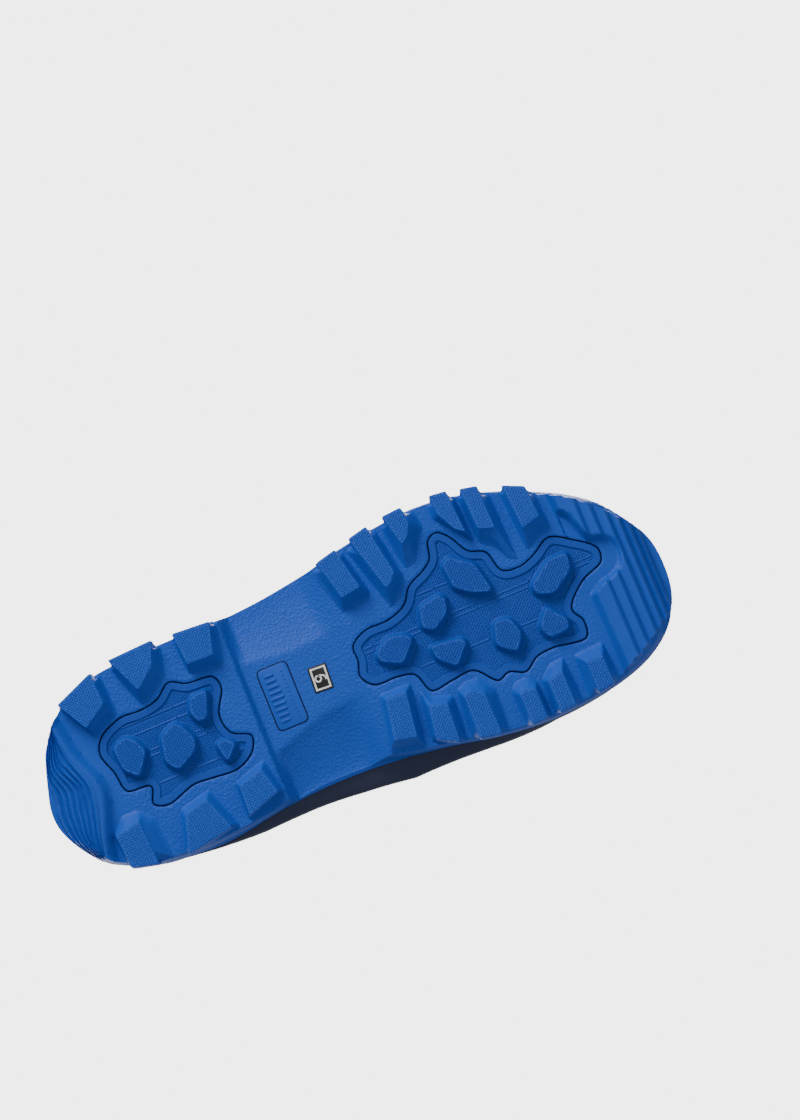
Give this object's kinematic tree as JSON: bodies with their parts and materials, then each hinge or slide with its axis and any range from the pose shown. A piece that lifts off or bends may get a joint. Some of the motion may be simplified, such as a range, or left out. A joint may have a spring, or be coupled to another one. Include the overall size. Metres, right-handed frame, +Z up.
{
  "type": "rubber garden clog",
  "caption": "Low slip-on garden clog for the right foot: rubber upper, ribbed toe rand, two-tier side band and a deep-lugged sole that wraps up over the toe.",
  "frame": {"origin": "on the ground under the middle of the clog's overall length and width", "axes": "+Y from the toe to the heel along the clog, +X to the inner (big-toe) side, +Z up from the ground"},
  "size_m": [0.1106, 0.2838, 0.128],
  "materials": {
    "outsole_rubber": "moulded blue rubber, pebbled and knurled faces with smooth walls",
    "insert_rubber": "softer moulded blue rubber, fine diamond knurl",
    "label_print": "black moulded-in label with a white printed frame and numeral",
    "band_rubber": "satin navy moulded rubber with a fine grain",
    "rand_rubber": "black rubber with a fine wavy rib",
    "upper_rubber": "smooth satin olive rubber",
    "lining_fabric": "dark knitted lining on neoprene",
    "footbed_foam": "moulded foam",
    "board": "pressed fibre board",
    "shank_steel": "plain spring steel"
  },
  "bodies": {
    "root": {"outsole": "outsole_rubber", "forefoot_tread_insert": "insert_rubber", "heel_tread_insert": "insert_rubber", "arch_badge": "outsole_rubber", "size_label": "label_print", "midsole": "band_rubber", "shank": "shank_steel", "insole_board": "board", "footbed": "footbed_foam", "footbed_cover": "lining_fabric", "upper_shell": "upper_rubber", "lining": "lining_fabric", "heel_counter": "board", "toe_puff": "board", "collar_binding": "upper_rubber", "toe_rand": "rand_rubber", "heel_cup": "band_rubber"}
  },
  "joints": []
}
